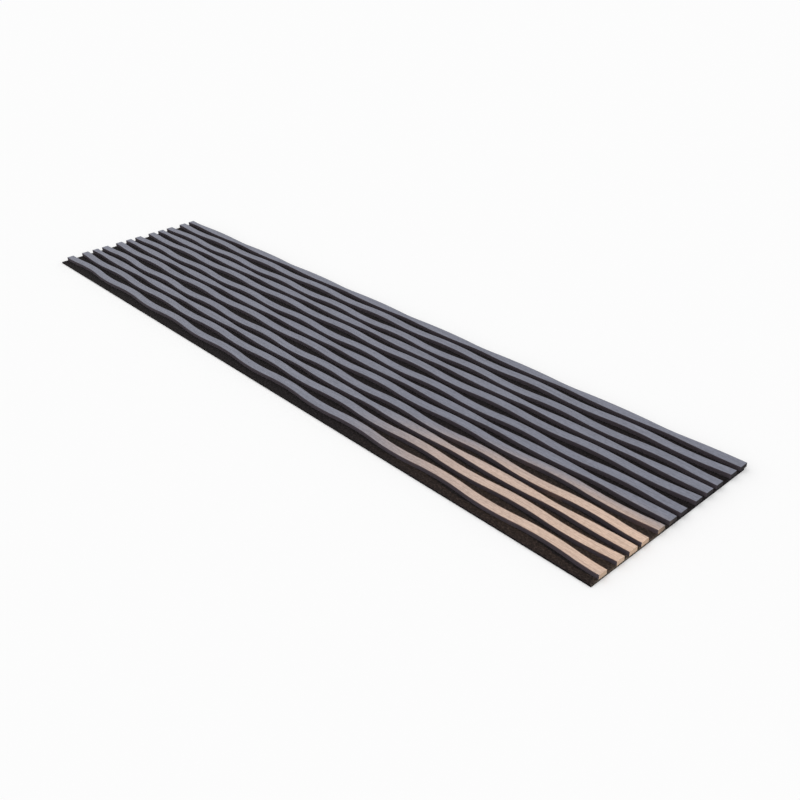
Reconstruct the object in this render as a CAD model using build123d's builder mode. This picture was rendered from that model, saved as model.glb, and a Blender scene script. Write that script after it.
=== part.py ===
"""Acoustic wall panel: twelve wavy slats glued on a sheet of polyester felt, lying on its back.

The frame's origin is the centre of the felt's back face. +X runs along the panel, +Y across it
and +Z out of the back, towards the slats' faces. All sizes are in millimetres.
"""

import os
from dataclasses import dataclass

from build123d import *

os.makedirs("parts", exist_ok=True)

# Felt sheet
panel_length = 2650.0
felt_width = 600.0
felt_thickness = 5.0

# Slats, all cut from one board, with the long edges of the face broken
slat_thickness = 12.0
edge_break = 0.5

# The pattern is a module of three slats, repeated across the felt
module_count = 4
module_pitch = felt_width / module_count

# First slat of a module: constant width, swaying to each side of its centre line.
# A place is the centre line's share of the module, a crest's distance is from the panel's left end.
first_place = 0.287
first_width = 27.0
first_sway = 4.3
first_wave = 328.5
first_crest = 181.0

# Second slat of a module: constant width, swaying on a longer wave
second_place = 0.652
second_width = 27.0
second_sway = 3.8
second_wave = 338.5
second_crest = 326.5

# Third slat of a module: straight, swelling into long bellies between short waists.
# On the last module it overhangs the felt, so that it covers the seam with the next panel.
third_place = 0.9735
third_belly_width = 29.8
third_waist_width = 19.2
third_wave = 338.5
third_belly = 236.5
third_belly_share = 0.75

# Share of a wave that its crests take where crests and troughs are alike
even_share = 0.5


@dataclass
class SlatKind:
    """A slat's outline. Each edge is its crest's and its trough's distance from the centre line."""

    place: float
    wave: float
    crest: float
    crest_share: float
    near_edge: tuple
    far_edge: tuple


def swaying(place, width, sway, wave, crest):
    """A slat of constant width that sways to each side of its centre line."""
    near_edge = (-width / 2 + sway, -width / 2 - sway)
    far_edge = (width / 2 + sway, width / 2 - sway)
    return SlatKind(place, wave, crest, even_share, near_edge, far_edge)


def swelling(place, belly_width, waist_width, wave, belly, belly_share):
    """A straight slat with a belly and a waist in each wave."""
    near_edge = (-belly_width / 2, -waist_width / 2)
    far_edge = (belly_width / 2, waist_width / 2)
    return SlatKind(place, wave, belly, belly_share, near_edge, far_edge)


def edge_arcs(kind, edge, centre):
    """Tangent arcs of a wavy edge, three points each, that run past both ends of the panel."""
    crest_at, trough_at = (centre + height for height in edge)
    joint_at = crest_at + kind.crest_share * (trough_at - crest_at)
    reach = kind.crest_share * kind.wave / 2
    middle = kind.crest % kind.wave - kind.wave - panel_length / 2
    arcs = []
    while middle - reach < panel_length / 2:
        fall = middle + reach
        rise = middle + kind.wave - reach
        trough = middle + kind.wave / 2
        arcs.append([(middle - reach, joint_at), (middle, crest_at), (fall, joint_at)])
        arcs.append([(fall, joint_at), (trough, trough_at), (rise, joint_at)])
        middle += kind.wave
    return arcs


slat_kinds = [
    swaying(first_place, first_width, first_sway, first_wave, first_crest),
    swaying(second_place, second_width, second_sway, second_wave, second_crest),
    swelling(
        third_place, third_belly_width, third_waist_width, third_wave, third_belly, third_belly_share
    ),
]

# Felt sheet
with BuildPart() as felt_backing:
    with BuildSketch(Plane.XY):
        Rectangle(panel_length, felt_width)
    extrude(amount=felt_thickness)
felt_backing.part.label = "felt_backing"
export_step(felt_backing.part, "parts/felt_backing.step")

# Slats, numbered from the near long edge to the far one
for module in range(module_count):
    for number, kind in enumerate(slat_kinds, start=1 + module * len(slat_kinds)):
        name = f"slat_{number:02d}"
        centre = (module + kind.place) * module_pitch - felt_width / 2
        near_arcs = edge_arcs(kind, kind.near_edge, centre)
        far_arcs = edge_arcs(kind, kind.far_edge, centre)
        with BuildPart() as slat:
            with BuildSketch(Plane.XY.offset(felt_thickness)):
                with BuildLine():
                    for points in near_arcs + far_arcs:
                        ThreePointArc(*points)
                    Line(near_arcs[0][0], far_arcs[0][0])
                    Line(near_arcs[-1][-1], far_arcs[-1][-1])
                make_face()
                Rectangle(panel_length, 2 * felt_width, mode=Mode.INTERSECT)
            extrude(amount=slat_thickness)
            face = slat.faces().sort_by(Axis.Z)[-1]
            chamfer(face.edges().filter_by(GeomType.CIRCLE), length=edge_break)
        slat.part.label = name
        export_step(slat.part, f"parts/{name}.step")
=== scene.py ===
"""Looks of the acoustic wall panel: waved slats with a grey film face, glued on a sheet of black felt.

Everything is in metres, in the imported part's frame. Its origin is the centre of the felt's back face, +X runs
along the panel, +Y across it and +Z from that face to the slats' faces. The panel lies on its back on a pale
studio floor.
"""

import math
from dataclasses import dataclass

import bpy
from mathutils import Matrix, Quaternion, Vector, noise


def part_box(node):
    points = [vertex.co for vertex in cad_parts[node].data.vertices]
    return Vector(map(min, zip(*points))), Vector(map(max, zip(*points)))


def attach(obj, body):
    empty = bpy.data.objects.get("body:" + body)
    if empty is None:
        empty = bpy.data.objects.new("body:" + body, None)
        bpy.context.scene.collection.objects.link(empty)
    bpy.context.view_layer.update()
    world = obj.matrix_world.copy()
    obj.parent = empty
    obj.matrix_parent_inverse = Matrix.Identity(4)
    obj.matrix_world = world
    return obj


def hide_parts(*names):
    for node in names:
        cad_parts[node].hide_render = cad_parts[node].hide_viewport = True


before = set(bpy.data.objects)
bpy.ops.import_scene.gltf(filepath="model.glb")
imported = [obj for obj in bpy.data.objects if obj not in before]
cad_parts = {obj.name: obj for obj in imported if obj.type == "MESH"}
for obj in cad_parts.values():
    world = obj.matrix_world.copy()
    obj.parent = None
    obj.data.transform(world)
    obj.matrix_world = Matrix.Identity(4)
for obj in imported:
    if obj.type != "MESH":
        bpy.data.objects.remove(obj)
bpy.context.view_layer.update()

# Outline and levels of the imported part
felt_low, felt_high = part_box("felt_backing")
left_end = felt_low.x
right_end = felt_high.x
near_side = felt_low.y
far_side = felt_high.y
felt_back = felt_low.z
felt_top = felt_high.z
face_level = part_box("slat_01")[1].z
panel_length = right_end - left_end
felt_width = far_side - near_side

# The pattern is a module of three slats, repeated across the felt, as in the part's source.
# A place is the centre line's share of the module, a crest's distance is from the panel's left end.
module_count = 4
module_pitch = felt_width / module_count

# First slat of a module: constant width, swaying to each side of its centre line
first_place = 0.287
first_width = 0.027
first_sway = 0.0043
first_wave = 0.3285
first_crest = 0.181

# Second slat of a module: constant width, swaying on a longer wave
second_place = 0.652
second_width = 0.027
second_sway = 0.0038
second_wave = 0.3385
second_crest = 0.3265

# Third slat of a module: straight, swelling into long bellies between short waists
third_place = 0.9735
third_belly_width = 0.0298
third_waist_width = 0.0192
third_wave = 0.3385
third_belly = 0.2365
third_belly_share = 0.75

# Share of a wave that its crests take where crests and troughs are alike
even_share = 0.5

# The long edges of a slat's face are broken by two flats, which meet at this turn of a round edge.
# The film covers the flat face between the broken edges.
edge_break = 0.0010
edge_turn = math.radians(45)

# Spacing of the sections along a slat, and of the felt's grid lines
slat_step = 0.005
felt_step = 0.010

# Felt: the rounding of its cut edges, with the grid lines over it as shares of the radius, how far the
# top sinks between high spots, and how deep the cut edges are ragged
felt_edge_round = 0.0012
felt_edge_shares = (0.0, 0.12, 0.4)
felt_dip = 0.0003
felt_dip_size = 0.022
felt_cut_depth = 0.0004
felt_cut_size = 0.009

# Edges are shaded as sharp where their faces turn by more than this
slat_crease = math.radians(15)
felt_crease = math.radians(50)

# Colours of the panel
film_dark = (0.132, 0.137, 0.172, 1.0)
film_light = (0.220, 0.228, 0.285, 1.0)
side_dark = (0.043, 0.035, 0.042, 1.0)
side_light = (0.083, 0.067, 0.081, 1.0)
# The ends show the dark core, painted darker than the sides as shade on the ends
end_core_and_shade_dark = (0.0150, 0.0125, 0.0140, 1.0)
end_core_and_shade_light = (0.0275, 0.0228, 0.0257, 1.0)
felt_dark = (0.0055, 0.0044, 0.0047, 1.0)
felt_light = (0.0640, 0.0515, 0.0545, 1.0)
# The felt's cut edges take a darker copy of its colours, as painted shade along them
felt_edge_shade_dark = (0.004, 0.0034, 0.0034, 1.0)
felt_edge_shade_light = (0.010, 0.0086, 0.0086, 1.0)

# Gloss of the film, and of the core where it is cut along a slat and across its ends
film_gloss = 0.30
side_gloss = 0.25
end_gloss = 0.14

# How much the film's fine grain, broad bands and short flecks each count in its tone
grain_share = 0.4
band_share = 0.2
fleck_share = 0.4

# Directions of the felt's fibres, in degrees from the X axis
fibre_angles = (8.0, 47.0, 86.0, 125.0, 163.0)

# Camera, from the photograph's perspective, with its lens and sensor in millimetres
camera_place = Vector((2.147, -1.4937, 1.3006))
camera_target = Vector((0.4646, -0.0678, 0.0))
camera_roll = math.radians(-2.757)
camera_lens = 40.239
camera_sensor = 36.0

# Studio floor, pale surround and overhead light
floor_size = 60.0
floor_gap = 0.0002
floor_colour = (0.95, 0.95, 0.95, 1.0)
surround_colour = (1.0, 1.0, 1.0, 1.0)
surround_strength = 0.97
overhead_strength = 0.18
overhead_angle = math.radians(70.0)

# Both beams come from the same distance, through a lamp of the same radius
beam_distance = 4.0
beam_radius = 0.03

# In the photograph the felt stays nearly black where the beams fall, so it takes only a share of them,
# and a paler warm light
warm_colour = (1.0, 0.555, 0.18)
felt_warm_colour = (1.0, 0.72, 0.42)
felt_beam_share = 0.38
end_colour = (0.92, 1.0, 0.75)


@dataclass
class Beam:
    """A spot beam onto a target. Its bearing is from the +X axis towards +Y."""

    name: str
    target: Vector
    bearing: float
    elevation: float
    cone: float
    blend: float
    power: float


# Warm beam from the right, low along the panel, that lights the near corner of its right end
warm_beam = Beam(
    name="warm_beam",
    target=Vector((1.218, -0.181, 0.017)),
    bearing=math.radians(4.0),
    elevation=math.radians(14.6),
    cone=math.radians(2.39),
    blend=0.77,
    power=5950.0,
)

# Level beam beside it, that lights the slats' ends there
end_beam = Beam(
    name="end_beam",
    target=Vector((1.325, -0.196, 0.010)),
    bearing=math.radians(6.2),
    elevation=math.radians(0.6),
    cone=math.radians(2.9),
    blend=1.0,
    power=8500.0,
)


# Outlines of the slats


@dataclass
class SlatKind:
    """A slat's outline. Each edge is its crest's and its trough's distance from the centre line."""

    place: float
    wave: float
    crest: float
    crest_share: float
    near_edge: tuple
    far_edge: tuple


def swaying(place, width, sway, wave, crest):
    """A slat of constant width that sways to each side of its centre line."""
    near_edge = (-width / 2 + sway, -width / 2 - sway)
    far_edge = (width / 2 + sway, width / 2 - sway)
    return SlatKind(place, wave, crest, even_share, near_edge, far_edge)


def swelling(place, belly_width, waist_width, wave, belly, belly_share):
    """A straight slat with a belly and a waist in each wave."""
    near_edge = (-belly_width / 2, -waist_width / 2)
    far_edge = (belly_width / 2, waist_width / 2)
    return SlatKind(place, wave, belly, belly_share, near_edge, far_edge)


slat_kinds = [
    swaying(first_place, first_width, first_sway, first_wave, first_crest),
    swaying(second_place, second_width, second_sway, second_wave, second_crest),
    swelling(
        third_place, third_belly_width, third_waist_width, third_wave, third_belly, third_belly_share
    ),
]


def arc_height(offset, reach, middle, end):
    """Height of an arc at an offset from its middle. At its reach the arc has come to its end height."""
    rise = middle - end
    radius = (reach**2 + rise**2) / (2 * rise)
    return middle - radius + math.copysign(math.sqrt(radius**2 - offset**2), radius)


def edge_height(kind, edge, run):
    """Distance of a wavy edge from its slat's centre line, at a run from the panel's left end."""
    crest_at, trough_at = edge
    joint_at = crest_at + kind.crest_share * (trough_at - crest_at)
    half_wave = kind.wave / 2
    reach = kind.crest_share * half_wave
    from_crest = abs((run - kind.crest + half_wave) % kind.wave - half_wave)
    if from_crest < reach:
        return arc_height(from_crest, reach, crest_at, joint_at)
    return arc_height(half_wave - from_crest, half_wave - reach, trough_at, joint_at)


def steps(low, high, step):
    """Evenly spaced values from low to high, about a step apart."""
    count = round((high - low) / step)
    return [low + (high - low) * i / count for i in range(count + 1)]


# Materials


def set_inputs(tree, node, inputs):
    """Sets a node's inputs. Each is a plain value or another node's output."""
    for name, value in inputs.items():
        if isinstance(value, bpy.types.NodeSocket):
            tree.links.new(value, node.inputs[name])
        else:
            node.inputs[name].default_value = value


def add_node(tree, kind, inputs=None, **settings):
    """Adds a node with its settings and inputs."""
    node = tree.nodes.new(kind)
    for name, value in settings.items():
        setattr(node, name, value)
    set_inputs(tree, node, inputs or {})
    return node


def new_material(name):
    """A material with its node tree and its shader."""
    material = bpy.data.materials.new(name)
    material.use_nodes = True
    tree = material.node_tree
    return material, tree, tree.nodes["Principled BSDF"]


def streaks(tree, length, width, turn=0.0, detail=3.0, bend=0.0):
    """Noise from 0 to 1 with features of a length and a width, turned about Z from the X axis and bent."""
    place = add_node(tree, "ShaderNodeTexCoord").outputs["Object"]
    turning = {"Vector": place, "Rotation": (0, 0, turn)}
    turned = add_node(tree, "ShaderNodeMapping", turning).outputs["Vector"]
    stretching = {"Vector": turned, "Scale": (1 / length, 1 / width, 1 / width)}
    stretched = add_node(tree, "ShaderNodeMapping", stretching).outputs["Vector"]
    inputs = {"Vector": stretched, "Scale": 1.0, "Detail": detail, "Roughness": 0.6, "Distortion": bend}
    return add_node(tree, "ShaderNodeTexNoise", inputs).outputs["Fac"]


def between(tree, factor, low, high, to_low=0.0, to_high=1.0):
    """A factor's range from low to high, spread over another range and held at its ends."""
    inputs = {"Value": factor, "From Min": low, "From Max": high, "To Min": to_low, "To Max": to_high}
    return add_node(tree, "ShaderNodeMapRange", inputs).outputs["Result"]


def combine(tree, operation, first, second):
    """Two factors added, multiplied or compared."""
    node = add_node(tree, "ShaderNodeMath", {0: first, 1: second}, operation=operation)
    return node.outputs["Value"]


def blend_colours(tree, factor, low, high):
    """A colour between two others."""
    node = add_node(tree, "ShaderNodeMix", {"Factor": factor}, data_type="RGBA")
    low_input, high_input = [socket for socket in node.inputs if socket.type == "RGBA"]
    low_input.default_value = low
    high_input.default_value = high
    return next(socket for socket in node.outputs if socket.type == "RGBA")


def bumps(tree, height, depth, strength):
    """A normal bumped by a height factor of that depth."""
    inputs = {"Height": height, "Distance": depth, "Strength": strength}
    return add_node(tree, "ShaderNodeBump", inputs).outputs["Normal"]


def film_material():
    """Matt grey film with a fine straight grain along the panel."""
    material, tree, shader = new_material("slat_film")
    grain = streaks(tree, length=0.060, width=0.0024, detail=4.0)
    bands = streaks(tree, length=0.60, width=0.0090, detail=2.0)
    flecks = streaks(tree, length=0.011, width=0.0028, detail=2.0)
    tone = 0.0
    for layer, share in ((grain, grain_share), (bands, band_share), (flecks, fleck_share)):
        tone = combine(tree, "ADD", tone, combine(tree, "MULTIPLY", layer, share))
    tone = between(tree, tone, low=0.40, high=0.60)
    finish = {
        "Base Color": blend_colours(tree, tone, film_dark, film_light),
        "Roughness": between(tree, grain, low=0.3, high=0.7, to_low=0.62, to_high=0.48),
        "Specular IOR Level": film_gloss,
        "Normal": bumps(tree, tone, depth=0.0001, strength=0.5),
    }
    set_inputs(tree, shader, finish)
    return material


def core_material(name, dark, light, gloss, mark_length, mark_width, mark_turn):
    """Black fibreboard core as a cutter leaves it, with fine marks along the cut."""
    material, tree, shader = new_material(name)
    marks = streaks(tree, mark_length, mark_width, mark_turn, detail=2.0)
    fibres = streaks(tree, length=0.0012, width=0.0007, detail=3.0)
    mean = combine(tree, "MULTIPLY", combine(tree, "ADD", marks, fibres), 0.5)
    tone = between(tree, mean, low=0.36, high=0.64)
    finish = {
        "Base Color": blend_colours(tree, tone, dark, light),
        "Roughness": 0.8,
        "Specular IOR Level": gloss,
        "Normal": bumps(tree, tone, depth=0.0001, strength=0.6),
    }
    set_inputs(tree, shader, finish)
    return material


def felt_material(name, dark, light):
    """Needled black polyester felt: fine crossing fibres over softly mottled ground."""
    material, tree, shader = new_material(name)
    fibres = 0.0
    for angle in fibre_angles:
        layer = streaks(tree, length=0.010, width=0.0007, turn=math.radians(angle), bend=0.4)
        fibres = combine(tree, "MAXIMUM", fibres, between(tree, layer, low=0.55, high=0.75))
    tufts = streaks(tree, length=0.007, width=0.005, detail=3.0)
    mottle = between(tree, tufts, low=0.41, high=0.59, to_low=0.15, to_high=1.0)
    tone = combine(tree, "MULTIPLY", fibres, mottle)
    finish = {
        "Base Color": blend_colours(tree, tone, dark, light),
        "Roughness": 0.95,
        "Specular IOR Level": 0.08,
        "Sheen Weight": 0.02,
        "Sheen Roughness": 0.5,
        "Normal": bumps(tree, fibres, depth=0.0004, strength=0.7),
    }
    set_inputs(tree, shader, finish)
    return material


def floor_material():
    """Matt pale studio floor."""
    material, tree, shader = new_material("studio_floor")
    finish = {"Base Color": floor_colour, "Roughness": 1.0, "Specular IOR Level": 0.0}
    set_inputs(tree, shader, finish)
    return material


# Pieces


def add_mesh(name, vertices, faces, materials, face_materials, crease=math.pi):
    """A mesh object with a material for each face, shaded smooth up to edges that turn by a crease."""
    mesh = bpy.data.meshes.new(name)
    mesh.from_pydata(vertices, [], faces)
    for material in materials:
        mesh.materials.append(material)
    mesh.polygons.foreach_set("material_index", face_materials)
    mesh.shade_smooth()
    mesh.set_sharp_from_angle(angle=crease)
    mesh.validate()
    piece = bpy.data.objects.new(name, mesh)
    bpy.context.scene.collection.objects.link(piece)
    return piece


def slat_section(run, centre, kind):
    """Section of a slat from its near foot over its face to its far foot."""
    x = left_end + run
    near = centre + edge_height(kind, kind.near_edge, run)
    far = centre + edge_height(kind, kind.far_edge, run)
    shoulder = face_level - edge_break
    eased = edge_break * (1 - math.cos(edge_turn))
    near_points = [
        (x, near, felt_top),
        (x, near, shoulder),
        (x, near + eased, face_level - eased),
        (x, near + edge_break, face_level),
    ]
    far_points = [
        (x, far - edge_break, face_level),
        (x, far - eased, face_level - eased),
        (x, far, shoulder),
        (x, far, felt_top),
    ]
    return near_points + far_points


def make_slat(name, centre, kind, materials):
    """A slat with a film face, between broken edges and sides that show its core."""
    film, side, end = range(len(materials))
    # Strips between a section's points: near side, broken edge, face, broken edge, far side, underside
    strip_materials = [side, side, side, film, side, side, side, side]
    size = len(strip_materials)
    runs = steps(0.0, panel_length, slat_step)
    vertices = []
    for run in runs:
        vertices += slat_section(run, centre, kind)
    faces = []
    face_materials = []
    for station in range(len(runs) - 1):
        here = station * size
        there = here + size
        for corner in range(size):
            after = (corner + 1) % size
            faces.append((here + corner, there + corner, there + after, here + after))
            face_materials.append(strip_materials[corner])
    last = (len(runs) - 1) * size
    faces.append(tuple(range(size)))
    faces.append(tuple(last + corner for corner in reversed(range(size))))
    face_materials += [end, end]
    return add_mesh(name, vertices, faces, materials, face_materials, slat_crease)


def make_slats():
    """All slats, numbered from the near long edge to the far one."""
    lengthwise = 0.0
    crosswise = math.radians(90)
    materials = [
        film_material(),
        core_material(
            "slat_side",
            side_dark,
            side_light,
            side_gloss,
            mark_length=0.040,
            mark_width=0.0009,
            mark_turn=lengthwise,
        ),
        # Ends: the core's colours, darkened by painted shade
        core_material(
            "slat_end",
            end_core_and_shade_dark,
            end_core_and_shade_light,
            end_gloss,
            mark_length=0.012,
            mark_width=0.0010,
            mark_turn=crosswise,
        ),
    ]
    slats = []
    for module in range(module_count):
        for number, kind in enumerate(slat_kinds, start=1 + module * len(slat_kinds)):
            node = f"slat_{number:02d}"
            centre = near_side + (module + kind.place) * module_pitch
            slat = make_slat("waved_" + node, centre, kind, materials)
            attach(slat, "root")
            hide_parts(node)
            slats.append(slat)
    return slats


def rounded_drop(inset):
    """How far the felt's top lies below its level at an inset from its cut edge."""
    if inset >= felt_edge_round:
        return 0.0
    return felt_edge_round - math.sqrt(felt_edge_round**2 - (felt_edge_round - inset) ** 2)


def felt_lines(low, high):
    """Grid lines over the felt, closer together where its edge is rounded."""
    rounding = [felt_edge_round * share for share in felt_edge_shares]
    inner = steps(low + felt_edge_round, high - felt_edge_round, felt_step)
    return [low + r for r in rounding] + inner + [high - r for r in reversed(rounding)]


def unevenness(x, y, size, layer):
    """Smooth noise from -1 to 1 with features of a size. Each layer has a pattern of its own."""
    return noise.noise(Vector((x, y, layer)) / size)


def felt_point(x, y):
    """The felt's top at a grid point: sunk between high spots, rounded and ragged at its cut edges."""
    inset_x = min(x - left_end, right_end - x)
    inset_y = min(y - near_side, far_side - y)
    edge_share = max(0.0, 1 - min(inset_x, inset_y) / felt_step)
    ragged = felt_cut_depth * edge_share * unevenness(x, y, felt_cut_size, layer=0) ** 2
    cut_x = math.copysign(ragged, -x) if inset_x < felt_step else 0.0
    cut_y = math.copysign(ragged, -y) if inset_y < felt_step else 0.0
    drop = min(felt_edge_round, rounded_drop(inset_x) + rounded_drop(inset_y))
    dip = felt_dip * max(0.0, unevenness(x, y, felt_dip_size, layer=1)) * (1 - edge_share)
    return x + cut_x, y + cut_y, felt_top - drop - dip


def sheet_faces(column_count, row_count):
    """Broad and rim faces of a closed sheet over a grid. Its top points come before its back points."""
    under = column_count * row_count
    broad = []
    for column in range(column_count - 1):
        for row in range(row_count - 1):
            here = column * row_count + row
            there = here + row_count
            broad.append((here, there, there + 1, here + 1))
            broad.append((under + here, under + here + 1, under + there + 1, under + there))
    last = under - row_count
    near_rim = list(range(0, under, row_count))
    right_rim = list(range(last, under))
    far_rim = list(range(under - 1, 0, -row_count))
    left_rim = list(range(row_count - 1, -1, -1))
    rim = []
    for side in (near_rim, right_rim, far_rim, left_rim):
        for here, there in zip(side, side[1:]):
            rim.append((under + here, under + there, there, here))
    return broad, rim


def make_felt():
    """The felt sheet, with a felt material, and a darker copy of it on its cut edges as painted shade."""
    columns = felt_lines(left_end, right_end)
    rows = felt_lines(near_side, far_side)
    top = [felt_point(x, y) for x in columns for y in rows]
    back = [(x, y, felt_back) for x, y, _ in top]
    broad, rim = sheet_faces(len(columns), len(rows))
    materials = [
        felt_material("felt", felt_dark, felt_light),
        felt_material("felt_cut", felt_edge_shade_dark, felt_edge_shade_light),
    ]
    surface, cut = range(len(materials))
    face_materials = [surface] * len(broad) + [cut] * len(rim)
    felt = add_mesh("felt_sheet", top + back, broad + rim, materials, face_materials, felt_crease)
    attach(felt, "root")
    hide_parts("felt_backing")
    return felt


# Studio


def make_floor():
    """A plain pale floor just under the felt."""
    half = floor_size / 2
    level = felt_back - floor_gap
    corners = [(-half, -half, level), (half, -half, level), (half, half, level), (-half, half, level)]
    floor = add_mesh("studio_floor", corners, [(0, 1, 2, 3)], [floor_material()], [0])


def add_light(name, kind, place, aim):
    """A light that shines from a place at a point."""
    light = bpy.data.objects.new(name, bpy.data.lights.new(name, kind))
    light.location = place
    light.rotation_euler = (aim - place).to_track_quat("-Z", "Y").to_euler()
    bpy.context.scene.collection.objects.link(light)
    return light


def make_studio_light():
    """Even soft light from overhead and a pale surround."""
    world = bpy.data.worlds.new("studio")
    world.use_nodes = True
    background = world.node_tree.nodes["Background"]
    background.inputs["Color"].default_value = surround_colour
    background.inputs["Strength"].default_value = surround_strength
    bpy.context.scene.world = world
    overhead = add_light("overhead", "SUN", Vector((0.0, 0.0, 1.0)), Vector((0.0, 0.0, 0.0)))
    overhead.data.energy = overhead_strength
    overhead.data.angle = overhead_angle


def add_beam(name, beam, share, colour, receivers):
    """A lamp for a share of a beam, that lights its receivers alone and leaves no glare on them."""
    flat = math.cos(beam.elevation)
    along = flat * math.cos(beam.bearing)
    across = flat * math.sin(beam.bearing)
    towards = Vector((along, across, math.sin(beam.elevation)))
    lamp = add_light(name, "SPOT", beam.target + beam_distance * towards, beam.target)
    lamp.data.spot_size = 2 * beam.cone
    lamp.data.spot_blend = beam.blend
    lamp.data.shadow_soft_size = beam_radius
    lamp.data.energy = share * beam.power
    lamp.data.color = colour
    lamp.visible_glossy = False
    lamp.light_linking.receiver_collection = receivers


def light_corner(name, pieces, share, warm):
    """The warm pool of light on the near corner of the right end, for these pieces alone."""
    receivers = bpy.data.collections.new(name + "_receivers")
    for piece in pieces:
        receivers.objects.link(piece)
    for beam, colour in ((warm_beam, warm), (end_beam, end_colour)):
        add_beam(f"{name}_{beam.name}", beam, share, colour, receivers)


def make_camera():
    """The camera at the photograph's viewing angle."""
    data = bpy.data.cameras.new("camera")
    data.lens = camera_lens
    data.sensor_width = camera_sensor
    camera = bpy.data.objects.new("camera", data)
    camera.location = camera_place
    camera.rotation_mode = "QUATERNION"
    level = (camera_target - camera_place).to_track_quat("-Z", "Y")
    camera.rotation_quaternion = level @ Quaternion((0, 0, 1), camera_roll)
    bpy.context.scene.collection.objects.link(camera)
    bpy.context.scene.camera = camera


# The panel in its studio

felt = make_felt()
slats = make_slats()
make_floor()
make_studio_light()
light_corner("slats", slats, 1.0, warm_colour)
light_corner("felt", [felt], felt_beam_share, felt_warm_colour)
make_camera()
bpy.context.scene.view_settings.view_transform = "Standard"
